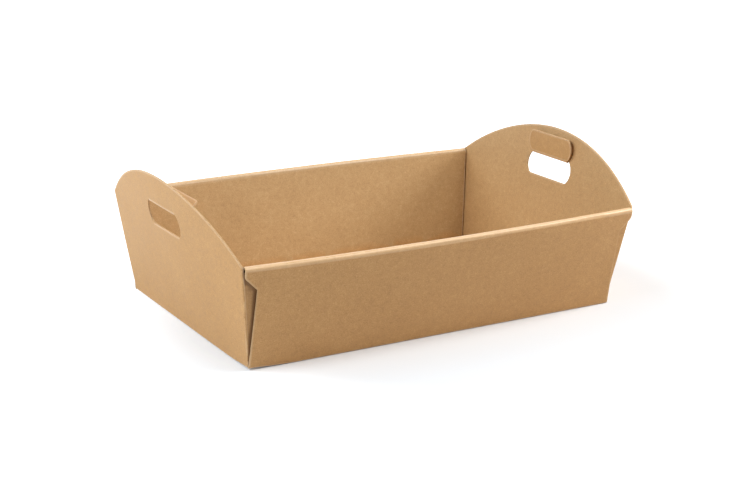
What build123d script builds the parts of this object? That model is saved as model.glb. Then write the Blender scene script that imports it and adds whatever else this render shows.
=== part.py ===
from build123d import *
import os
from math import asin, atan2, cos, degrees, radians, sin, sqrt, tan

# A gift tray of kraft micro-flute card, folded from one cut blank.
# The two long walls are rolled over the corner tabs of the end panels, and lock into slots in the base.
# The two arched end panels are single, lean outwards and carry a hand hole each.
# All four walls bow out a little between their corners.
# Each hand hole keeps its flap, creased along the hole's top edge and pushed through to the inside.
# Frame: origin at the middle of the base's underside, X along the long walls, Z up, millimetres.

# Card
board = 1.5              # thickness of the card
fold_radius = 2.0        # outside radius of a single crease
layer_gap = 0.3          # air between two layers that only lie against each other

# Tray
base_length = 400.0      # crease to crease, between the end panels
base_width = 268.0       # crease to crease, between the long walls
wall_height = 101.6      # floor to the top of the rolled rim
wall_lean = 10.7         # degrees, ends of a long wall outwards from upright
end_lean = 7.35          # degrees, side edges of an end panel outwards from upright
wall_bow = 7.0           # how far the middle of a long wall stands out past its ends, at the rim
panel_bow = 7.0          # how far the middle of an end panel stands out past its side edges, at the rim

# Long wall
rim_play = 3.4           # what the rolled rim is wider than its three layers of card
rim_radius = 3.1         # outside radius of each of the rim's two creases
tab_play = 2.0           # room between the outer wall and the corner tab, at the rim
inner_play = 0.5         # room between the corner tab and the inner wall, at the base
hook_foot = 22.3         # the hook's lower corner, below the top of the rim
hook_tip = 10.1          # the hook's upper corner, below the top of the rim
hook_setback = 2.0       # how far the wall's side edge has drawn in at the foot of the hook
hook_foot_radius = 1.5   # rounding of the hook's lower corner
hook_tip_radius = 6.0    # rounding of the hook's upper corner
rim_setback = 2.6        # how far the rim ends short of the end panel's outer face
edge_gap = 1.0           # air between the inner wall's side edge and the end panel

# Lock tabs of the inner wall, in slots of the base
lock_count = 3           # along each long edge
lock_width = 36.0        # of a tab at its root
lock_pitch = 125.0       # from one tab's middle to the next
lock_taper = 1.5         # each side of a lock tab draws in by this towards its end
slot_gap = 0.4           # air round a lock tab in its slot

# End panel
arch_rise = 50.3         # top of the arch above the rim
tab_length = 62.0        # corner tab, from its crease
tab_head = 5.0           # the tab's upper corner, below the top of the rim
tab_rise = 3.0           # the tab's lower corner, above the floor
tab_slope = 9.0          # the tab's free end is this much shorter at the top and at the bottom
tab_radius = 8.0         # rounding of the tab's free corners

# Hand hole, measured in the plane of the panel
crease_height = 122.0    # the hole's top edge, which is the flap's crease, above the floor
hole_height = 23.9
hole_width = 62.6        # straight part of the top and bottom edges
hole_bulge = 5.9         # how far each end bows out past the straight part
hole_radius = 4.4        # lower corners
crease_radius = 2.0      # upper corners, at the ends of the crease
flap_gap = 0.4           # cut line round the flap
pivot_inset = 0.45       # the flap turns about a line this far inside the panel's inner face
left_flap_angle = 105.0  # degrees that each flap is turned in and up from closed
right_flap_angle = 169.0

half_length = base_length / 2
half_width = base_width / 2
wall_slope = tan(radians(wall_lean))
end_slope = tan(radians(end_lean))
wall_layer = board / cos(radians(wall_lean))
panel_layer = board / cos(radians(end_lean))
arch_top = wall_height + arch_rise
reach = half_width + wall_height * wall_slope + wall_bow
seat = board + layer_gap
crease_rise = fold_radius + 2 * layer_gap


def outer_face(z):
    # outside of a long wall at its ends, from the middle of the tray
    return half_width + z * wall_slope


def end_face(z):
    # outside of an end panel at its side edges
    return half_length + z * end_slope


# Rim: one section, swept along an arc from end to end of a long wall
rim_low = wall_height - 1.5 * rim_radius
rim_end = end_face(wall_height) - rim_setback
rim_face = outer_face(rim_low)
rim_width = 3 * board + rim_play
rim_slope = wall_slope + wall_bow / 2 / wall_height
rim_layer = board * sqrt(1 + rim_slope ** 2)
bow_radius = (rim_end ** 2 + wall_bow ** 2) / (2 * wall_bow)
bow_middle = rim_face + wall_bow - bow_radius

# Corner tabs between the layers of the long walls, and the inner walls against them
fold_foot = half_width - wall_layer - layer_gap
fold_top = outer_face(wall_height) - wall_layer - tab_play
fold_slope = (fold_top - fold_foot) / wall_height
inner_foot = fold_foot - 2 * wall_layer - inner_play
inner_slope = (rim_face - rim_width - inner_foot) / (rim_low - seat)


def fold_line(z):
    # crease between end panel and corner tab
    return fold_foot + z * fold_slope


def panel_bow_at(z):
    return panel_bow * (z - crease_rise) / (wall_height - crease_rise)


def wall_bow_at(x, z):
    share = 1 - (x / rim_end) ** 2
    return wall_bow * share * (z - crease_rise) / (rim_low - crease_rise)


def parallel(corners, distance):
    # the same open run of straight lines, moved to its left by a distance
    lines = []
    for (ax, az), (bx, bz) in zip(corners, corners[1:]):
        turn = atan2(bz - az, bx - ax)
        lines.append((ax - distance * sin(turn), az + distance * cos(turn), turn))
    moved = [lines[0][:2]]
    for (px, pz, turn), (qx, qz, after) in zip(lines, lines[1:]):
        along = ((qx - px) * sin(after) - (qz - pz) * cos(after)) / sin(after - turn)
        moved.append((px + along * cos(turn), pz + along * sin(turn)))
    end_x, end_z = corners[-1]
    last = lines[-1][2]
    moved.append((end_x - distance * sin(last), end_z + distance * cos(last)))
    return moved


def folded(outside, radii):
    # the sheet cut across, from a run along its outside and the outside radius of each fold
    inside = parallel(outside, board)
    outer_run = FilletPolyline(*outside, radius=radii)
    inner_run = FilletPolyline(*inside, radius=[radius - board for radius in radii])
    ends = [Line(outer_run @ 0, inner_run @ 0), Line(outer_run @ 1, inner_run @ 1)]
    return make_face([outer_run, inner_run] + ends)


def base_fold(edge, slope):
    # the fold between the base and a wall, cut across; longer both ways than what is kept of it
    height = 2 * crease_rise
    return folded([(edge - height, 0), (edge, 0), (edge + height * slope, height)], [fold_radius])


def across(outline):
    # an outline seen from the front, driven through the whole width
    return extrude(Plane.XZ * outline, amount=2 * reach, both=True)


def along(outline):
    # an outline seen from an end, driven through the whole length
    return extrude(Plane.YZ * outline, amount=2 * half_length, both=True)


def mirrored(half_run):
    # closes a run of points on the +X side with its mirror image
    return half_run + [(-x, z) for x, z in reversed(half_run)]


def standing_box(length, width, height):
    return Box(length, width, height, align=(Align.CENTER, Align.CENTER, Align.MIN))


def hook_corners():
    # side edge of the outer wall from the base up: it draws in, then steps out in a hook under the rim
    return [
        (half_length, 0),
        (half_length - hook_setback, wall_height - hook_foot),
        (rim_end, wall_height - hook_tip),
        (rim_end, wall_height),
    ]


def outer_outline():
    # outer wall with its hooks rounded
    side = FilletPolyline(*hook_corners(), radius=[hook_foot_radius, hook_tip_radius])
    other = mirror(side, about=Plane.YZ)
    closing = [Line(side @ 1, other @ 1), Line(other @ 0, side @ 0)]
    return make_face([side, other] + closing)


def inner_outline():
    # inner wall: runs up to the end panels, and no further out than the rim
    face = half_length - panel_layer - edge_gap
    meet = (rim_end - face) / end_slope
    if meet < rim_low:
        run = [(face + seat * end_slope, seat), (rim_end, meet), (rim_end, rim_low)]
    else:
        run = [(face + seat * end_slope, seat), (face + rim_low * end_slope, rim_low)]
    return make_face(Polyline(*mirrored(run), close=True))


def straight_strip(z, face, layer):
    # a layer of the back wall cut level where it does not bow yet, from its face nearer the middle
    wide = rim_end + board
    strip = Polyline((-wide, face), (wide, face), (wide, face + layer), (-wide, face + layer), close=True)
    return Plane.XY.offset(z) * make_face(strip)


def bowed_strip(z, face, layer):
    # the same where it bows in full, up against the rim
    wide = rim_end + board
    arcs = []
    for y in (face + wall_bow, face + layer + wall_bow):
        end = bow_middle + sqrt((y - bow_middle) ** 2 - wide ** 2)
        arcs.append(ThreePointArc((-wide, end), (0, y), (wide, end)))
    near, far = arcs
    strip = make_face([near, Line(near @ 1, far @ 1), far, Line(far @ 0, near @ 0)])
    return Plane.XY.offset(z) * strip


def rim():
    # the rolled top of the back wall: outer wall, two folds, inner wall
    leg = 2 * (wall_height - rim_low)
    face_top = rim_face + wall_bow + leg / 2 * rim_slope
    face_low = face_top - leg * rim_slope
    outside = [
        (face_low, wall_height - leg),
        (face_top, wall_height),
        (face_top - rim_width, wall_height),
        (face_low - rim_width, wall_height - leg),
    ]
    axis = Axis((0, bow_middle, 0), (0, 0, 1))
    half_turn = degrees(asin((rim_end + board) / bow_radius))
    section = (Plane.YZ * folded(outside, [rim_radius, rim_radius])).rotate(axis, -half_turn)
    kept = Pos(0, 0, rim_low) * standing_box(2 * rim_end, 4 * reach, leg)
    return revolve(section, axis, 2 * half_turn) & kept


def back_wall():
    middle = fold_foot + half_width / 2
    beyond_base = Pos(0, middle, 0) * standing_box(4 * half_length, half_width, crease_rise)
    foot = along(base_fold(half_width, wall_slope)) & across(outer_outline()) & beyond_base
    # the bowed layer is cut with sharp hooks first, because the rounded cut alone can lose it at other sizes
    outer = loft([
        straight_strip(crease_rise, outer_face(crease_rise) - wall_layer, wall_layer),
        bowed_strip(rim_low, rim_face - rim_layer, rim_layer),
    ], ruled=True) & across(make_face(Polyline(*mirrored(hook_corners()), close=True)))
    outer = outer & across(outer_outline())
    inner = loft([
        straight_strip(seat, inner_foot, wall_layer),
        bowed_strip(rim_low, rim_face - rim_width, rim_layer),
    ], ruled=True) & across(inner_outline())
    return foot + outer + rim() + inner


def lock_section(low, high, grow):
    # the inner wall carried on down, cut across between two heights, and as much thicker as asked
    face_low = inner_foot + (low - seat) * inner_slope - grow
    face_high = inner_foot + (high - seat) * inner_slope - grow
    thick = wall_layer + 2 * grow
    return make_face(Polyline(*[
        (face_low, low),
        (face_low + thick, low),
        (face_high + thick, high),
        (face_high, high),
    ], close=True))


def lock_outline(x, low, high, grow, taper):
    wide = lock_width / 2 + grow
    return make_face(Polyline(*[
        (x - wide + taper, low),
        (x - wide, high),
        (x + wide, high),
        (x + wide - taper, low),
    ], close=True))


def lock_places():
    return [(i - (lock_count - 1) / 2) * lock_pitch for i in range(lock_count)]


def lock_tabs():
    # on the foot of the back inner wall, through the base to its underside
    section = along(lock_section(0, seat, 0))
    return [section & across(lock_outline(x, 0, seat, 0, lock_taper)) for x in lock_places()]


def lock_slots():
    # through the base, and no higher than the air between it and the inner wall
    high = (board + seat) / 2
    section = along(lock_section(-board, high, slot_gap))
    slots = [section & across(lock_outline(x, -board, high, slot_gap, 0)) for x in lock_places()]
    return slots + [mirror(slot, about=Plane.XZ) for slot in slots]


def panel_ring(z):
    # end panel and its two corner tabs, cut level at a height
    edge = end_face(z)
    bow = panel_bow_at(z)
    side = fold_line(z)
    root = edge - tab_length
    out = wall_bow_at(root, z)
    inner_side = side - wall_layer
    inner_edge = edge - panel_layer
    if bow > 0:
        outer_run = ThreePointArc((edge, -side), (edge + bow, 0), (edge, side))
        inner_run = ThreePointArc((inner_edge, -inner_side), (inner_edge + bow, 0), (inner_edge, inner_side))
    else:
        outer_run = Line((edge, -side), (edge, side))
        inner_run = Line((inner_edge, -inner_side), (inner_edge, inner_side))
    ring = [
        outer_run,
        Line((edge, side), (root, side + out)),
        Line((root, side + out), (root, inner_side + out)),
        Line((root, inner_side + out), (inner_edge, inner_side)),
        inner_run,
        Line((inner_edge, -inner_side), (root, -inner_side - out)),
        Line((root, -inner_side - out), (root, -side - out)),
        Line((root, -side - out), (edge, -side)),
    ]
    face = make_face(ring)
    near = board / 2
    outer_corners = face.vertices().filter_by_position(Axis.X, edge - near, edge + near)
    return (Plane.XY.offset(z) * fillet(outer_corners, radius=fold_radius)).face()


def arch_outline():
    # end panel seen from the end: arched above the rim, cut level under its corner tabs' feet
    wide = reach + board
    arch = ThreePointArc((fold_top, wall_height), (0, arch_top), (-fold_top, wall_height))
    rest = Polyline(
        (-fold_top, wall_height),
        (-wide, wall_height),
        (-wide, 0),
        (wide, 0),
        (wide, wall_height),
        (fold_top, wall_height),
    )
    return make_face([arch, rest])


def tab_outline():
    # corner tab seen from the front, with the whole of the panel beside it
    top = arch_top + board
    inside = panel_layer + layer_gap
    far = 2 * half_length
    panel = make_face(Polyline(*[
        (end_face(0) - inside, 0),
        (end_face(top) - inside, top),
        (far, top),
        (far, 0),
    ], close=True))
    head = wall_height - tab_head
    upper = end_face(head)
    lower = end_face(tab_rise)
    tab = make_face(Polyline(*[
        (upper, head),
        (upper - tab_length, head - tab_slope),
        (lower - tab_length, tab_rise + tab_slope),
        (lower, tab_rise),
    ], close=True))
    free_corners = tab.vertices().sort_by(Axis.X)[:2]
    return panel + fillet(free_corners, radius=tab_radius)


def end_crease():
    # the fold between base and end panel, up to where the panel starts to bow
    strip = extrude(Plane.XZ * base_fold(half_length, end_slope), amount=fold_foot, both=True)
    return strip & Box(4 * half_length, 4 * half_width, 2 * crease_rise)


def end_panel():
    # the panel at the +X end, still without its hand hole
    ring = loft([panel_ring(crease_rise), panel_ring(arch_top + board)], ruled=True)
    return (ring & along(arch_outline()) & across(tab_outline())) + end_crease()


crease_x = end_face(crease_height) + panel_bow_at(crease_height) - panel_layer
hole_slope = end_slope + panel_bow / (wall_height - crease_rise)
hole_lean = degrees(atan2(hole_slope, 1))
hole_plane = Plane(
    origin=(crease_x, 0, crease_height),
    x_dir=(0, 1, 0),
    z_dir=(cos(radians(hole_lean)), 0, -sin(radians(hole_lean))),
)
pivot = hole_plane.offset(-pivot_inset).origin


def hole_outline(gap):
    # straight top and bottom, ends bowed outwards, as much smaller all round as asked
    wide = hole_width / 2 - gap
    tall = hole_height - gap
    middle = hole_height / 2
    full = wide + hole_bulge
    outline = make_face([
        Line((-wide, -gap), (wide, -gap)),
        ThreePointArc((wide, -gap), (full, -middle), (wide, -tall)),
        Line((wide, -tall), (-wide, -tall)),
        ThreePointArc((-wide, -tall), (-full, -middle), (-wide, -gap)),
    ])
    upper = outline.vertices().group_by(Axis.Y)[-1]
    outline = fillet(upper, radius=crease_radius)
    lower = outline.vertices().group_by(Axis.Y)[0]
    return fillet(lower, radius=hole_radius)


def hand_hole():
    return extrude(hole_plane * hole_outline(0), amount=3 * board, both=True)


def handle_flap(turned):
    # at the +X end, turned in and up about its crease by an angle from closed
    flap = extrude(hole_plane * hole_outline(flap_gap), amount=board)
    return flap.rotate(Axis(pivot, (0, 1, 0)), turned)


def tray():
    base = standing_box(base_length - 2 * fold_radius, 2 * fold_foot, board)
    panel = end_panel() - hand_hole()
    wall = back_wall()
    sheet = base + panel + mirror(panel, about=Plane.YZ) + wall + mirror(wall, about=Plane.XZ)
    tabs = lock_tabs()
    return sheet - lock_slots() + tabs + [mirror(tab, about=Plane.XZ) for tab in tabs]


os.makedirs("parts", exist_ok=True)
export_step(tray(), "parts/tray.step")
export_step(mirror(handle_flap(left_flap_angle), about=Plane.YZ), "parts/left_handle_flap.step")
export_step(handle_flap(right_flap_angle), "parts/right_handle_flap.step")
print("flap pivot", pivot, "lean", round(hole_lean, 2))
print("crease foot", round(fold_foot, 2), "inner wall foot", round(inner_foot, 2))
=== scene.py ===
import math
import bpy
import bmesh
from mathutils import Matrix, Vector, noise
from mathutils.bvhtree import BVHTree


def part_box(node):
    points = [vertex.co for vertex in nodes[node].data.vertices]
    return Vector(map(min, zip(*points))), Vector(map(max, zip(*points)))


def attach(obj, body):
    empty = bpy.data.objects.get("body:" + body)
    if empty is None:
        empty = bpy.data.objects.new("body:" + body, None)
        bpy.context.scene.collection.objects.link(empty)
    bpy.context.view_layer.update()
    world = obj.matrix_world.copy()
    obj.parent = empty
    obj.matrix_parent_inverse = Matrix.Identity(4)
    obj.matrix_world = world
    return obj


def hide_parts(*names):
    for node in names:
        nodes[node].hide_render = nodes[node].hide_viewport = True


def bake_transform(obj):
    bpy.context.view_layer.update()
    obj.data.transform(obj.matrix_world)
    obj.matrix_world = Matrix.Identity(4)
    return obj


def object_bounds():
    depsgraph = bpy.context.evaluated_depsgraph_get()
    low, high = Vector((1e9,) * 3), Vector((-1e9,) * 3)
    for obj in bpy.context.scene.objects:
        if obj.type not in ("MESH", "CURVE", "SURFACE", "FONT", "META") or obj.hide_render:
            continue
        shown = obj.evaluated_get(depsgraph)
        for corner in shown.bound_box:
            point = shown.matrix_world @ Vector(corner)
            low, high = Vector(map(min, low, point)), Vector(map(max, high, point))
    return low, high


# Kraft gift tray folded from one micro-flute blank, with a hand hole and its pushed-in flap in each end

mm = 0.001
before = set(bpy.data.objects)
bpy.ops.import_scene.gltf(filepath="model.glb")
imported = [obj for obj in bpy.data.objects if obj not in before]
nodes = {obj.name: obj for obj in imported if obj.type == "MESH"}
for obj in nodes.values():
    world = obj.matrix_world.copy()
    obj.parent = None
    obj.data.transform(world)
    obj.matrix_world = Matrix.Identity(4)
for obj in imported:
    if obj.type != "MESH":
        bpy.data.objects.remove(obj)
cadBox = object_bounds()
print("frame loaded")


# camera, from the photograph's own vanishing points

cameraValues = {
    "place": (-749.76, -1291.06, 493.76),  # millimetres
    "yaw": 0.5298,  # radians, from +Y towards +X
    "pitch": 0.2882,  # down
    "roll": 0.0114,
    "lens": 74.03,
    "sensor": 36.0,
    "clip": (0.05, 50.0),
}


def makeCamera(values):
    yaw, pitch, roll = values["yaw"], values["pitch"], values["roll"]
    ahead = Vector((math.sin(yaw) * math.cos(pitch), math.cos(yaw) * math.cos(pitch), -math.sin(pitch)))
    side = Vector((math.cos(yaw), -math.sin(yaw), 0))
    above = side.cross(ahead)
    right = side * math.cos(roll) + above * math.sin(roll)
    up = above * math.cos(roll) - side * math.sin(roll)
    turn = Matrix((right, up, -ahead)).transposed().to_4x4()
    data = bpy.data.cameras.new("photoCamera")
    data.lens = values["lens"]
    data.sensor_width = values["sensor"]
    data.sensor_fit = "HORIZONTAL"
    data.clip_start, data.clip_end = values["clip"]
    camera = bpy.data.objects.new("photoCamera", data)
    camera.matrix_world = Matrix.Translation(Vector(values["place"]) * mm) @ turn
    bpy.context.collection.objects.link(camera)
    bpy.context.scene.camera = camera


makeCamera(cameraValues)


# node helpers

class NodeSheet:
    # short calls for laying out a material's nodes

    def __init__(self, tree):
        self.tree = tree
        tree.nodes.clear()

    def add(self, kind, **settings):
        node = self.tree.nodes.new(kind)
        for key, value in settings.items():
            setattr(node, key, value)
        return node

    def put(self, node, socket, value):
        # links another node's output, or sets a plain value
        if isinstance(value, bpy.types.NodeSocket):
            self.tree.links.new(value, node.inputs[socket])
        else:
            node.inputs[socket].default_value = value

    def finish(self, shader, kind="ShaderNodeOutputMaterial"):
        self.put(self.add(kind), "Surface", shader.outputs[0])

    def place(self):
        return self.add("ShaderNodeTexCoord").outputs["Object"]

    def attribute(self, name):
        return self.add("ShaderNodeAttribute", attribute_name=name).outputs["Fac"]

    def math(self, operation, first, second=None, clamp=False):
        node = self.add("ShaderNodeMath", operation=operation, use_clamp=clamp)
        self.put(node, 0, first)
        if second is not None:
            self.put(node, 1, second)
        return node.outputs[0]

    def plus(self, first, second, clamp=False):
        return self.math("ADD", first, second, clamp)

    def times(self, first, second):
        return self.math("MULTIPLY", first, second)

    def spread(self, value, low, high, toLow=0.0, toHigh=1.0, smooth=False):
        node = self.add("ShaderNodeMapRange", interpolation_type="SMOOTHSTEP" if smooth else "LINEAR")
        for socket, given in (("Value", value), ("From Min", low), ("From Max", high),
                              ("To Min", toLow), ("To Max", toHigh)):
            self.put(node, socket, given)
        return node.outputs[0]

    def mixColour(self, share, first, second, kind="MIX"):
        node = self.add("ShaderNodeMix", data_type="RGBA", blend_type=kind)
        for socket, given in ((0, share), (6, first), (7, second)):  # 6 and 7 are its two colours
            self.put(node, socket, given)
        return node.outputs[2]

    def noise(self, place, scale, detail, roughness):
        node = self.add("ShaderNodeTexNoise")
        for socket, given in (("Vector", place), ("Scale", scale), ("Detail", detail),
                              ("Roughness", roughness)):
            self.put(node, socket, given)
        return node.outputs[0]

    def stretch(self, place, scale):
        node = self.add("ShaderNodeMapping")
        self.put(node, "Vector", place)
        self.put(node, "Scale", scale)
        return node.outputs[0]

    def flutes(self):
        # flutes counted along the card, and the share of its thickness in from one liner
        apart = self.add("ShaderNodeSeparateXYZ")
        self.put(apart, 0, self.add("ShaderNodeUVMap", uv_map="flutes").outputs[0])
        return apart.outputs[0], apart.outputs[1]

    def bump(self, height, depth, strength, under=None):
        node = self.add("ShaderNodeBump")
        self.put(node, "Height", height)
        self.put(node, "Distance", depth)
        self.put(node, "Strength", strength)
        if under is not None:
            self.put(node, "Normal", under)
        return node.outputs[0]


def newMaterial(name):
    material = bpy.data.materials.new(name)
    material.use_nodes = True
    return material, NodeSheet(material.node_tree)


# floor, light and world

studioValues = {
    "floorSize": 16.0,
    "floorColour": (0.80, 0.80, 0.80, 1),
    "floorSeen": (0.745, 0.785, 0.825, 1),  # what the eye sees, a little cool against the card's warm bounce
    "glow": (0.0, 0.58, 1.0),  # painted light on the floor, seen by the eye only: none near the tray, so its shadow under the front wall stays, and rising outwards, so that the floor stays white where the lamps fall off and the tray's shadow beside its left end fades
    "glowReach": (0.215, 0.36, 2.4),  # how far from glowCentre the floor has each of those glows
    "glowCentre": (0.06, -0.06, 0.0),
    "worldLight": 0.12,
    "worldSeen": 1.0,
    "aim": (0.0, 0.0, 0.06),  # what the lamps point at
}
warmLight = (1.025, 0.98, 0.94)
coolLight = (0.95, 1.02, 1.08)
# power in watts, side of the square in metres, place, colour
lamps = {
    "highFront": (17.6, 0.8, (0.67, -0.67, 1.70), warmLight),
    "right": (26.5, 0.7, (1.50, -0.45, 1.15), warmLight),
    "left": (20.5, 1.4, (-1.56, 0.0, 1.15), coolLight),
    "backLeft": (15.5, 1.2, (-1.10, 1.10, 1.15), coolLight),
}


def seenRay(sheet):
    # 1 for rays that show a surface to the eye: straight, mirrored or through glass
    path = sheet.add("ShaderNodeLightPath")
    seen = sheet.plus(path.outputs["Is Camera Ray"], path.outputs["Is Glossy Ray"], clamp=True)
    return sheet.plus(seen, path.outputs["Is Transmission Ray"], clamp=True)


def floorGlow(sheet, values):
    offset = sheet.add("ShaderNodeVectorMath", operation="SUBTRACT")
    sheet.put(offset, 0, sheet.place())
    sheet.put(offset, 1, values["glowCentre"])
    length = sheet.add("ShaderNodeVectorMath", operation="LENGTH")
    sheet.put(length, 0, offset.outputs[0])
    away = length.outputs["Value"]
    near, middle, far = values["glowReach"]
    low, plain, high = values["glow"]
    return sheet.plus(sheet.spread(away, near, middle, low, plain, smooth=True),
                      sheet.spread(away, middle, far, 0.0, high - plain))


def makeFloor(values):
    mesh = bpy.data.meshes.new("floor")
    bm = bmesh.new()
    bmesh.ops.create_grid(bm, x_segments=1, y_segments=1, size=values["floorSize"] / 2)
    bm.to_mesh(mesh)
    bm.free()
    floor = bpy.data.objects.new("floor", mesh)
    bpy.context.collection.objects.link(floor)
    material, sheet = newMaterial("paleFloor")
    matt = sheet.add("ShaderNodeBsdfDiffuse")
    sheet.put(matt, "Color", sheet.mixColour(seenRay(sheet), values["floorColour"], values["floorSeen"]))
    glow = sheet.add("ShaderNodeEmission")
    sheet.put(glow, "Strength", sheet.times(seenRay(sheet), floorGlow(sheet, values)))
    both = sheet.add("ShaderNodeAddShader")
    sheet.put(both, 0, matt.outputs[0])
    sheet.put(both, 1, glow.outputs[0])
    sheet.finish(both)
    mesh.materials.append(material)


def makeWorld(values):
    world = bpy.data.worlds.new("studio")
    world.use_nodes = True
    bpy.context.scene.world = world
    sheet = NodeSheet(world.node_tree)
    sky = sheet.add("ShaderNodeBackground")
    sheet.put(sky, "Color", (1, 1, 1, 1))
    strength = sheet.spread(seenRay(sheet), 0.0, 1.0, values["worldLight"], values["worldSeen"])
    sheet.put(sky, "Strength", strength)
    sheet.finish(sky, "ShaderNodeOutputWorld")


def makeLamps(values):
    for name, (power, size, place, colour) in lamps.items():
        data = bpy.data.lights.new(name, "AREA")
        data.energy = power
        data.color = colour
        data.size = size
        lamp = bpy.data.objects.new(name, data)
        lamp.location = place
        lamp.rotation_euler = (Vector(values["aim"]) - Vector(place)).to_track_quat("-Z", "Y").to_euler()
        lamp.visible_camera = False
        bpy.context.collection.objects.link(lamp)


makeFloor(studioValues)
makeWorld(studioValues)
makeLamps(studioValues)
bpy.context.scene.view_settings.view_transform = "Standard"
print("camera, floor and lights made")


# finishes. A noise is its scale, detail and roughness, and a bump its depth in metres and its strength

linerValues = {
    "dark": (0.415, 0.220, 0.080, 1),
    "plain": (0.528, 0.292, 0.110, 1),
    "light": (0.650, 0.395, 0.172, 1),
    "blotch": (26.0, 4, 0.55),
    "mottle": (210.0, 5, 0.62),
    "fleck": (950.0, 3, 0.60),
    "toneShares": (0.12, 0.30, 0.58),  # of blotch, mottle and fleck
    "toneSpan": (0.36, 0.50, 0.66),  # tones that come out dark, plain and light
    "toneMost": 0.75,  # how far the dark or light colour goes over the plain one
    "fibre": (900.0, 3, 0.55),
    "fibreStretch": (0.28, 1.0, 1.6),
    "fibreSpan": (0.60, 0.74),  # only the densest fibres show
    "fibreShare": 0.22,
    # paler paper: abrasion along cuts and folds, and a painted highlight along the rim's top and on the
    # crushed cut bands
    "paleWearAndHighlight": (0.800, 0.585, 0.360, 1),
    "wearAndHighlightShare": 0.70,
    "wearAndHighlightCurve": 0.4,  # under 1, so that slight abrasion and a faint painted highlight already show
    "wearAndHighlightSpan": (0.35, 0.60),  # mottle that makes the abrasion and the painted highlight uneven
    "wearAndHighlightLeast": 0.86,  # share of the abrasion and painted highlight that stays where the mottle takes most
    "inside": (0.98, 1.16, 1.47, 1),  # multiplies the colour: painted light, which makes the paper that faces into the tray paler and less saturated
    # painted shade: the dark colour laid on the outward faces that the walls hem in beside the corners
    "paintedShade": (0.120, 0.048, 0.012, 1),
    "paintedShadeSpan": (0.01, 0.26),
    "paintedShadeShare": 0.75,
    "roughness": (0.52, 0.66),
    "roughSpan": (0.30, 0.70),
    "polish": 0.3,  # paper under the abrasion and the painted highlight is smoother
    "specular": 0.4,
    "washboard": (0.00003, 0.5),
    "grain": (0.00006, 0.6),
    "grainShares": (0.6, 0.9),  # of fleck and mottle
}

edgeValues = {
    "paper": (0.630, 0.425, 0.230, 1),
    "hollowShade": (0.230, 0.125, 0.058, 1),
    "stain": (0.450, 0.270, 0.130, 1),
    "stainSpan": (0.35, 0.70),
    "stainShare": 0.3,
    "ragged": (900.0, 3, 0.6),
    "raggedSpan": (0.30, 0.70),
    "raggedShift": 0.05,  # of the card's thickness
    "raggedHeight": 0.5,
    "waveHeight": 0.24,
    "waveShare": (0.065, 0.13),  # the fluted layer is full this near its middle line, and gone this far off
    "linerFrom": (0.26, 0.32),  # how far from the card's middle its liners begin, in shares of its thickness
    "crushed": (240.0, 3, 0.6),
    "crushedSpan": (0.35, 0.62),
    "crushedShare": (0.35, 0.95),
    "roughness": 0.9,
    "specular": 0.2,
    "bump": (0.00015, 0.6),
}


def paperTone(sheet, values, place, mottle, fleck):
    # plain kraft that goes darker and lighter with three sizes of noise, and shows its fibres
    blotch = sheet.noise(place, *values["blotch"])
    shares = values["toneShares"]
    tone = sheet.plus(sheet.times(blotch, shares[0]), sheet.times(mottle, shares[1]))
    tone = sheet.plus(tone, sheet.times(fleck, shares[2]))
    dark, plain, light = values["toneSpan"]
    darker = sheet.spread(tone, plain, dark, 0.0, values["toneMost"], smooth=True)
    lighter = sheet.spread(tone, plain, light, 0.0, values["toneMost"], smooth=True)
    colour = sheet.mixColour(darker, values["plain"], values["dark"])
    colour = sheet.mixColour(lighter, colour, values["light"])
    fibre = sheet.noise(sheet.stretch(place, values["fibreStretch"]), *values["fibre"])
    shown = sheet.spread(fibre, *values["fibreSpan"], smooth=True)
    return sheet.mixColour(sheet.times(shown, values["fibreShare"]), colour, values["dark"])


def makeLiner(name, values):
    material, sheet = newMaterial(name)
    place = sheet.place()
    mottle = sheet.noise(place, *values["mottle"])
    fleck = sheet.noise(place, *values["fleck"])
    colour = paperTone(sheet, values, place, mottle, fleck)
    # paler paper from abrasion, and a painted highlight along the rim's top and the crushed cut bands
    paleWearAndHighlight = sheet.math("POWER", sheet.attribute("wearAndHighlight"), values["wearAndHighlightCurve"])
    paleWearAndHighlight = sheet.times(paleWearAndHighlight, sheet.spread(mottle, *values["wearAndHighlightSpan"], values["wearAndHighlightLeast"], 1.0))
    colour = sheet.mixColour(sheet.times(paleWearAndHighlight, values["wearAndHighlightShare"]), colour, values["paleWearAndHighlight"])
    # painted light: paper that faces into the tray is painted paler and less saturated
    greyer = sheet.mixColour(1.0, colour, values["inside"], "MULTIPLY")
    colour = sheet.mixColour(sheet.attribute("inside"), colour, greyer)
    # painted shade where the walls hem the card in beside the corners
    paintedShadeMask = sheet.spread(sheet.attribute("paintedShade"), *values["paintedShadeSpan"], 0.0, values["paintedShadeShare"])
    colour = sheet.mixColour(paintedShadeMask, colour, values["paintedShade"])
    rough = sheet.spread(mottle, *values["roughSpan"], *values["roughness"])
    rough = sheet.math("SUBTRACT", rough, sheet.times(paleWearAndHighlight, values["polish"]))
    ripple = sheet.math("SINE", sheet.times(sheet.flutes()[0], 2 * math.pi))
    washboard = sheet.bump(ripple, *values["washboard"])
    shares = values["grainShares"]
    grain = sheet.plus(sheet.times(fleck, shares[0]), sheet.times(mottle, shares[1]))
    skin = sheet.add("ShaderNodeBsdfPrincipled")
    sheet.put(skin, "Base Color", colour)
    sheet.put(skin, "Roughness", rough)
    sheet.put(skin, "Specular IOR Level", values["specular"])
    sheet.put(skin, "Normal", sheet.bump(grain, *values["grain"], under=washboard))
    sheet.finish(skin)
    return material


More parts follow.
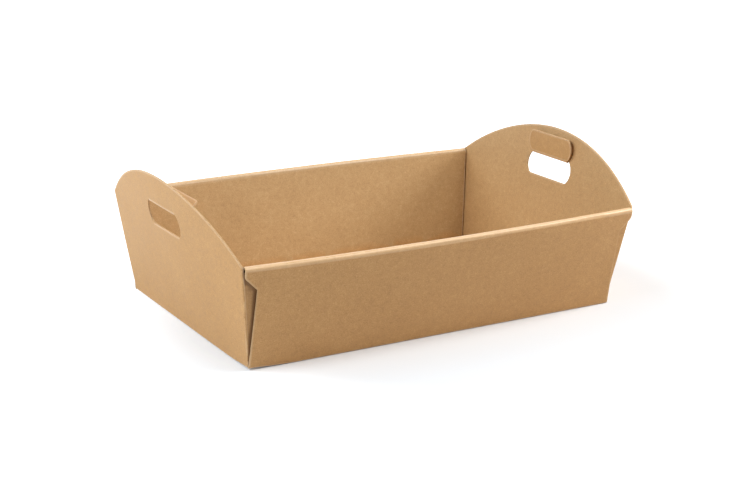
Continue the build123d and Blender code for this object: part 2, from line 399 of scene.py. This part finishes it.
def makeCutEdge(name, values):
    # two liners with the fluted layer between them, half crushed by the cutting rule
    material, sheet = newMaterial(name)
    place = sheet.place()
    along, across = sheet.flutes()
    ragged = sheet.noise(place, *values["ragged"])
    shift = values["raggedShift"]
    across = sheet.plus(across, sheet.spread(ragged, *values["raggedSpan"], -shift, shift))
    wave = sheet.math("SINE", sheet.times(along, 2 * math.pi))
    wave = sheet.plus(sheet.times(wave, values["waveHeight"]), 0.5)
    offWave = sheet.math("ABSOLUTE", sheet.math("SUBTRACT", across, wave))
    onWave = sheet.spread(offWave, *values["waveShare"], 1.0, 0.0, smooth=True)
    offMiddle = sheet.math("ABSOLUTE", sheet.math("SUBTRACT", across, 0.5))
    onLiner = sheet.spread(offMiddle, *values["linerFrom"], smooth=True)
    crushed = sheet.spread(sheet.noise(place, *values["crushed"]), *values["crushedSpan"],
                           *values["crushedShare"])
    paper = sheet.math("MAXIMUM", sheet.math("MAXIMUM", onWave, onLiner), crushed)
    # painted shade: the hollows between the flutes are coloured dark
    colour = sheet.mixColour(paper, values["hollowShade"], values["paper"])
    stained = sheet.spread(ragged, *values["stainSpan"], 0.0, values["stainShare"])
    colour = sheet.mixColour(stained, colour, values["stain"])
    height = sheet.plus(paper, sheet.times(ragged, values["raggedHeight"]))
    skin = sheet.add("ShaderNodeBsdfPrincipled")
    sheet.put(skin, "Base Color", colour)
    sheet.put(skin, "Roughness", values["roughness"])
    sheet.put(skin, "Specular IOR Level", values["specular"])
    sheet.put(skin, "Normal", sheet.bump(height, *values["bump"]))
    sheet.finish(skin)
    return material


kraftLiner = makeLiner("kraftLiner", linerValues)
kraftCutEdge = makeCutEdge("kraftCutEdge", edgeValues)
print("finishes made")


# card: a merged copy of a CAD node, told apart into liner and cut edge, creased and waved

cardValues = {
    "weld": 0.001 * mm,
    "thickness": 1.5 * mm,
    "deepest": 1.8 * mm,  # more card than this behind a face means that the face is a cut edge
    "under": 0.01 * mm,  # how far below a face the look through the card starts
    "sameSheet": math.radians(32),  # faces that meet at less than this are one patch
    "leastCut": 0.7 * mm * mm,  # smaller or narrower patches are slivers of a fold
    "leastWidth": 0.35 * mm,
    "sameFlat": math.radians(0.05),  # and at less than this one facet
    "flutePitch": 1.35 * mm,
    "upright": 0.6,  # a normal that leans more than this along x is an end panel's
    "crush": 0.24 * mm,  # how far the cutting rule rounds an edge over
    "crushBand": 1.7 * mm,  # how far in from the cut the liner slopes down
    "crushDepth": 0.42 * mm,
    "crushRoom": (0.7, 0.4),  # shares of crushBand and crush that have to be free for the full crush
    "shoulderShare": 0.3,  # how much of the crush reaches the middle of the rounding
    "insetTries": 9,
    "insetBack": 0.4,
    "insetTurned": 0.3,  # a face whose normal agrees with the card's by less than this has folded over
    "insetLeast": 1e-11,  # square metres, below which a face has no sure normal
    "wallFacing": 0.7,  # a normal that leans more than this along y is a wall's
    "wallWearAndHighlight": 1.0,
    "panelWearAndHighlight": (0.0, 0.16),  # left and right
    "foldWearAndHighlight": 0.24,
    "foldBend": math.radians(6),  # an edge that bends outwards by more than this is a fold
    "hollowBend": math.radians(4),  # and one that bends inwards by more than this stays unworn
    "rimHighlight": (0.85, 0.12),  # painted highlight along the rim's top, front and back
    "rimPlace": (221 * mm, 138.125 * mm),  # nearer in along x and further out along y than these
    "rimFacing": 0.5,  # a normal that leans more than this along x isn't the rim's
    "rimBand": (98.9 * mm, 100.6 * mm),  # heights between which the painted highlight sets in
    "lattice": 14 * mm,
    "latticeSnap": 0.002 * mm,
    "cornerCuts": (194 * mm, 220 * mm, 2 * mm),  # from, to and step
    "insideEnd": 0.45,  # how much of the painted paler inside tone the end panels, the base and the flaps get, where the walls have 1
    "insideBase": 0.6,
    "insideFlap": 0.6,
    "baseTop": 4 * mm,
    "pocketFrom": 194 * mm,
    "pocketFacing": 0.7,  # only faces whose outward lean along y is more than this
    "pocketReach": 14 * mm,
    "pocketRays": 40,
    "pocketStart": 0.03 * mm,
    "openSide": 0.15,  # the right hand corners stand open to the light
    "waveSeed": 11,  # noise_vector starts somewhere else in each run without one
    "waveStart": (3.1, 7.7, 1.3),
    "waveSize": 0.70 * mm,
    "waveLength": 95 * mm,
    "waveFoot": 30 * mm,  # the waves fade out below this, towards the flat base
    "sharp": math.radians(38),
    "liftedCorner": (-200 * mm, -134 * mm),  # the base's front left corner has curled off the floor
    "lift": 2.0 * mm,
    "liftReach": 24 * mm,
    "liftTop": 45 * mm,
}
linerSlot, edgeSlot = 0, 1


def mergedCopy(node, values):
    bm = bmesh.new()
    bm.from_mesh(node.data)
    bmesh.ops.remove_doubles(bm, verts=bm.verts, dist=values["weld"])
    bm.normal_update()
    return bm


def smoothPatches(bm, angle):
    # lists of faces that run on into each other
    done = set()
    for seed in bm.faces:
        if seed in done:
            continue
        patch, front = [], [seed]
        done.add(seed)
        while front:
            face = front.pop()
            patch.append(face)
            for edge in face.edges:
                if edge.calc_face_angle(math.pi) > angle:
                    continue
                for other in edge.link_faces:
                    if other not in done:
                        done.add(other)
                        front.append(other)
        yield patch


def markCutEdges(bm, values):
    # a patch is a cut edge where most of its area has deep card behind it
    # returns a lookup of the largest patch, which is one of the card's two liners
    tree = BVHTree.FromBMesh(bm)
    largest, widest = [], 0.0
    for patch in smoothPatches(bm, values["sameSheet"]):
        deepArea = area = rim = 0.0
        inside = set(patch)
        for face in patch:
            size = face.calc_area()
            start = face.calc_center_median() - face.normal * values["under"]
            depth = tree.ray_cast(start, -face.normal, 1.0)[3]
            area += size
            rim += sum(e.calc_length() for e in face.edges if not inside.issuperset(e.link_faces))
            if depth is None or depth > values["deepest"]:
                deepArea += size
        wide = area > values["leastCut"] and 2 * area / rim > values["leastWidth"]
        kind = edgeSlot if deepArea > area / 2 and wide else linerSlot
        if area > widest:
            largest, widest = patch, area
        for face in patch:
            face.material_index = kind
    # every face of a CAD node is a triangle
    corners = [vert.co.copy() for face in largest for vert in face.verts]
    triangles = [(3 * i, 3 * i + 1, 3 * i + 2) for i in range(len(largest))]
    return BVHTree.FromPolygons(corners, triangles)


def cutLattice(bm, values, low, high):
    # a regular lattice of cuts, so that long flat facets can bend a little, and finer ones beside the corners
    for axis in range(3):
        count = max(1, round((high[axis] - low[axis]) / values["lattice"]))
        cuts = [low[axis] + (high[axis] - low[axis]) * i / count for i in range(1, count)]
        if axis == 0 and high[0] > 0 > low[0]:
            near, far, step = values["cornerCuts"]
            fine = [near + step * i for i in range(round((far - near) / step) + 1)]
            cuts += fine + [-cut for cut in fine]
        for cut in cuts:
            place = [0, 0, 0]
            normal = [0, 0, 0]
            place[axis] = cut
            normal[axis] = 1
            parts = bm.verts[:] + bm.edges[:] + bm.faces[:]
            bmesh.ops.bisect_plane(bm, geom=parts, dist=values["latticeSnap"],
                                   plane_co=place, plane_no=normal)


def facesMeet(vert, kind):
    return any(face.material_index == kind for face in vert.link_faces)


def averageNormal(vert, kind):
    total = Vector()
    for face in vert.link_faces:
        if face.material_index == kind:
            total += face.normal * face.calc_area()
    return total.normalized() if total.length > 0 else total


def spotKey(place):
    return tuple(round(value * 1e7) for value in place)  # to a tenth of a micrometre


def shareOf(value, low, high):
    return min(1.0, max(0.0, (value - low) / (high - low)))


def insetPatch(bm, faces, band, values):
    # insets a patch from its border, drawn back wherever it would fold the paper over
    # returns the new ring and, for each place on the border, how wide the ring is there
    flat = BVHTree.FromBMesh(bm)
    ring = bmesh.ops.inset_region(bm, faces=faces, thickness=band, depth=0,
                                  use_boundary=True, use_even_offset=False)["faces"]
    inner = {v for f in ring for v in f.verts} & {v for f in faces if f.is_valid for v in f.verts}
    home = {}  # where each inner corner came from
    for face in ring:
        for edge in face.edges:
            a, b = edge.verts
            if (a in inner) != (b in inner):
                home[a if a in inner else b] = (b if a in inner else a).co.copy()
    suspects = {f for v in inner for f in v.link_faces}
    for attempt in range(values["insetTries"]):
        bad = set()
        for face in suspects:
            face.normal_update()
            if face.calc_area() > values["insetLeast"]:
                before = flat.find_nearest(face.calc_center_median())[1]
                if face.normal.dot(before) < values["insetTurned"]:
                    bad.update(v for v in face.verts if v in home)
        if not bad:
            break
        for vert in bad:
            vert.co = vert.co.lerp(home[vert], values["insetBack"])
    room = {}
    for vert, place in home.items():
        key = spotKey(place)
        room[key] = min(room.get(key, 1.0), (vert.co - place).length)
    return ring, room


def cutWearAndHighlight(vert, values):
    # along a cut, paler paper from abrasion and partly a painted highlight on the crushed band: full on the
    # walls, a little on the right end panel and none on the left one
    if abs(averageNormal(vert, linerSlot).y) > values["wallFacing"]:
        return values["wallWearAndHighlight"]
    return values["panelWearAndHighlight"][1 if vert.co.x > 0 else 0]


def rimHighlight(vert, values):
    # painted highlight: the rolled rim is painted pale along its top, much more on the front rim than on the
    # back
    insideX, outsideY = values["rimPlace"]
    if abs(vert.co.x) >= insideX or abs(vert.co.y) <= outsideY or abs(vert.normal.x) >= values["rimFacing"]:
        return 0.0
    return shareOf(vert.co.z, *values["rimBand"]) * values["rimHighlight"][0 if vert.co.y < 0 else 1]


def crushCutEdges(bm, values):
    # the cutting rule presses the card thin
    # the liner slopes down beside the cut, and the cut itself is rounded
    wearAndHighlight = bm.verts.layers.float.new("wearAndHighlight")
    liners = [f for f in bm.faces if f.material_index == linerSlot]
    bands = insetPatch(bm, liners, values["crushBand"], values)[1]
    brink = {v for v in bm.verts if facesMeet(v, linerSlot) and facesMeet(v, edgeSlot)}
    cuts = [f for f in bm.faces if f.material_index == edgeSlot]
    rims, lips = insetPatch(bm, cuts, values["crush"] / 2, values)
    rims = set(rims)
    shoulder = {v for f in rims for v in f.verts} - brink
    cuts = [f for f in bm.faces if f.material_index == edgeSlot and f not in rims]
    insetPatch(bm, cuts, values["crush"] / 2, values)
    bm.normal_update()
    bandRoom = values["crushRoom"][0] * values["crushBand"]
    lipRoom = values["crushRoom"][1] * values["crush"]
    moves = []
    for vert in brink:
        key = spotKey(vert.co)
        share = min(1.0, bands.get(key, 0.0) / bandRoom, lips.get(key, 0.0) / lipRoom)
        moves.append((vert, share * (averageNormal(vert, edgeSlot) * values["crush"]
                                     + averageNormal(vert, linerSlot) * values["crushDepth"])))
        # paler paper along the cut: abrasion, and partly a painted highlight on the crushed band
        vert[wearAndHighlight] = share * cutWearAndHighlight(vert, values)
    for vert in shoulder:
        moves.append((vert, averageNormal(vert, edgeSlot) * values["crush"] * values["shoulderShare"]))
    for vert, move in moves:
        vert.co -= move
    # paler outward folds, from abrasion and partly a painted highlight, and the rim's painted highlight along
    # its top
    for vert in bm.verts:
        if vert in brink or not facesMeet(vert, linerSlot):
            continue
        bend = [edge.calc_face_angle_signed(0.0) for edge in vert.link_edges]
        if max(bend) > values["foldBend"] and min(bend) > -values["hollowBend"]:
            vert[wearAndHighlight] = values["foldWearAndHighlight"]
        vert[wearAndHighlight] = max(vert[wearAndHighlight], rimHighlight(vert, values))


def layFlutes(bm, values):
    # u counts flutes: across the tray on the walls and the base, upwards on the end panels
    # v runs through the card, and stands at its middle until layThickness sets it
    layer = bm.loops.layers.uv.new("flutes")
    for face in bm.faces:
        upright = abs(face.normal.x) > values["upright"]
        for loop in face.loops:
            spot = loop.vert.co
            count = (spot.z if upright else spot.x) / values["flutePitch"]
            loop[layer].uv = (count, 0.5)


def layThickness(bm, liner, values):
    # on a cut edge, v is the share of the card's thickness in from the liner that was looked up
    layer = bm.loops.layers.uv["flutes"]
    for face in bm.faces:
        if face.material_index != edgeSlot:
            continue
        for loop in face.loops:
            away = liner.find_nearest(loop.vert.co)[3]
            loop[layer].uv = (loop[layer].uv[0], min(1.0, away / values["thickness"]))


def waveAt(spot, values):
    # slow waves of a card that has been handled, and one curled corner
    drift = noise.noise_vector(spot / values["waveLength"] + Vector(values["waveStart"]))
    low = shareOf(spot.z, 0.0, values["waveFoot"])
    away = (Vector(spot[:2]) - Vector(values["liftedCorner"])).length / values["liftReach"]
    lift = values["lift"] * math.exp(-away * away) * max(0.0, 1 - spot.z / values["liftTop"])
    return Vector((drift.x * low, drift.y * low, 0)) * values["waveSize"] + Vector((0, 0, lift))


def markPaintedPaleInside(bm, paleShare, values):
    # painted light: 1 on paper that faces the middle of the tray from front or back, less from the ends, 0 on
    # the outside; the liner paints it paler and less saturated
    layer = bm.verts.layers.float.new("inside")
    bm.normal_update()
    for vert in bm.verts:
        fromSide = -math.copysign(1, vert.co.x) * vert.normal.x
        fromFront = -math.copysign(1, vert.co.y) * vert.normal.y
        facing = values["insideEnd"] * fromSide + fromFront
        if vert.co.z < values["baseTop"]:
            facing = values["insideBase"] * vert.normal.z
        vert[layer] = shareOf(facing, 0.0, 1.0) * paleShare


def domeRays(count):
    # evenly spread over the upper half of a sphere, each a golden angle on from the last
    rays = []
    for i in range(count):
        z = 1 - (i + 0.5) / count
        turn = i * math.pi * (3 - math.sqrt(5))
        rays.append(Vector((math.cos(turn) * math.sqrt(1 - z * z), math.sin(turn) * math.sqrt(1 - z * z), z)))
    return rays


def markPaintedShade(bm, values):
    # painted shade: how far the outward faces beside the corners are hemmed in by the wall in front of them,
    # which darkens the card's colour there, at full strength at the left hand corners
    layer = bm.verts.layers.float.new("paintedShade")
    tree = BVHTree.FromBMesh(bm)
    rays = domeRays(values["pocketRays"])
    total = sum(ray.z for ray in rays)
    for vert in bm.verts:
        outward = vert.normal.y * math.copysign(1, vert.co.y)
        if abs(vert.co.x) < values["pocketFrom"] or outward < values["pocketFacing"]:
            continue
        turn = vert.normal.to_track_quat("Z", "Y").to_matrix()
        start = vert.co + vert.normal * values["pocketStart"]
        hits = sum(ray.z for ray in rays
                   if tree.ray_cast(start, turn @ ray, values["pocketReach"])[3] is not None)
        vert[layer] = hits / total * (1.0 if vert.co.x < 0 else values["openSide"])


def makePiece(name, bm):
    mesh = bpy.data.meshes.new(name)
    bmesh.ops.triangulate(bm, faces=[f for f in bm.faces if len(f.verts) > 4])
    for face in bm.faces:
        face.smooth = True
    bm.to_mesh(mesh)
    bm.free()
    mesh.set_sharp_from_angle(angle=cardValues["sharp"])
    for material in (kraftLiner, kraftCutEdge):
        mesh.materials.append(material)
    piece = bpy.data.objects.new(name, mesh)
    bpy.context.collection.objects.link(piece)
    print(name, len(mesh.polygons), "faces")
    return piece


def makeCard(name, node, body, values):
    low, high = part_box(node)
    bm = mergedCopy(nodes[node], values)
    liner = markCutEdges(bm, values)
    bmesh.ops.dissolve_limit(bm, angle_limit=values["sameFlat"], verts=bm.verts, edges=bm.edges,
                             delimit={"MATERIAL"})
    crushCutEdges(bm, values)
    cutLattice(bm, values, low, high)
    layFlutes(bm, values)
    layThickness(bm, liner, values)
    markPaintedPaleInside(bm, 1.0 if body == "tray" else values["insideFlap"], values)
    if body == "tray":
        markPaintedShade(bm, values)
    for vert in bm.verts:
        vert.co += waveAt(vert.co, values)
        for axis in range(3):
            vert.co[axis] = min(max(vert.co[axis], cadBox[0][axis]), cadBox[1][axis])
    piece = makePiece(name, bm)
    even = piece.modifiers.new("evenShading", "WEIGHTED_NORMAL")
    even.keep_sharp = True
    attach(piece, body)
    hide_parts(node)


# each piece with its CAD node and its body
cards = {
    "folded_card_tray": ("tray", "tray"),
    "left_hand_flap": ("left_handle_flap", "left_flap"),
    "right_hand_flap": ("right_handle_flap", "right_flap"),
}
noise.seed_set(cardValues["waveSeed"])
for name, (node, body) in cards.items():
    makeCard(name, node, body, cardValues)


# the creases that carry the flaps: pressed card that turns from the hole's top edge into the flap's root

creaseValues = {
    "pivot": (222.225 * mm, 0, 122.088 * mm),
    "lean": math.radians(11.29),  # of the end panel, outwards
    "inner": 0.80 * mm,
    "outer": 1.60 * mm,
    "halfWidth": 30.0 * mm,
    "tongue": 1.3 * mm,  # how far it runs into the panel and into the flap
    "steps": 12,
    "endFacing": 0.9,  # a normal that leans more than this along y is on an end of the fold
}
# each crease with its side of the tray, its flap's body and how many degrees the flap has turned at rest
creases = {
    "left_flap_crease_fold": (-1, "left_flap", 105),
    "right_flap_crease_fold": (1, "right_flap", 169),
}


def makeCrease(name, side, body, turned, values):
    pivot = Vector(values["pivot"])
    out = Vector((math.cos(values["lean"]), 0, -math.sin(values["lean"])))
    up = Vector((math.sin(values["lean"]), 0, math.cos(values["lean"])))
    along = Vector((0, values["halfWidth"], 0))
    turn = Matrix.Rotation(math.radians(turned), 3, "Y")
    bm = bmesh.new()
    corners = [pivot + out * values["inner"] - along, pivot + out * values["outer"] - along,
               pivot + out * values["outer"] + along, pivot + out * values["inner"] + along]
    first = bm.faces.new([bm.verts.new(corner) for corner in corners])
    startVerts = first.verts[:]
    made = bmesh.ops.spin(bm, geom=[first] + first.edges[:] + startVerts, cent=pivot, axis=(0, 1, 0),
                          angle=math.radians(turned), steps=values["steps"], use_merge=False)
    endVerts = [item for item in made["geom_last"] if isinstance(item, bmesh.types.BMVert)]
    for verts, shift in ((startVerts, up), (endVerts, turn @ -up)):
        cap = next(f for f in bm.faces if set(f.verts) == set(verts))
        pulled = bmesh.ops.extrude_face_region(bm, geom=[cap])["geom"]
        bmesh.ops.translate(bm, verts=[v for v in pulled if isinstance(v, bmesh.types.BMVert)],
                            vec=shift * values["tongue"])
        if cap.is_valid:
            bmesh.ops.delete(bm, geom=[cap], context="FACES_ONLY")
    bmesh.ops.scale(bm, vec=(side, 1, 1), verts=bm.verts)
    bmesh.ops.recalc_face_normals(bm, faces=bm.faces)
    # the crease takes the outward folds' paler tone: abrasion, and partly a painted highlight
    wearAndHighlight = bm.verts.layers.float.new("wearAndHighlight")
    for vert in bm.verts:
        vert[wearAndHighlight] = cardValues["foldWearAndHighlight"]
    for face in bm.faces:
        face.material_index = edgeSlot if abs(face.normal.y) > values["endFacing"] else linerSlot
    layFlutes(bm, cardValues)
    markPaintedPaleInside(bm, cardValues["insideFlap"], cardValues)
    for vert in bm.verts:
        vert.co += waveAt(vert.co, cardValues)
    piece = makePiece(name, bm)
    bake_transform(piece)


for name, (side, body, turned) in creases.items():
    makeCrease(name, side, body, turned, creaseValues)
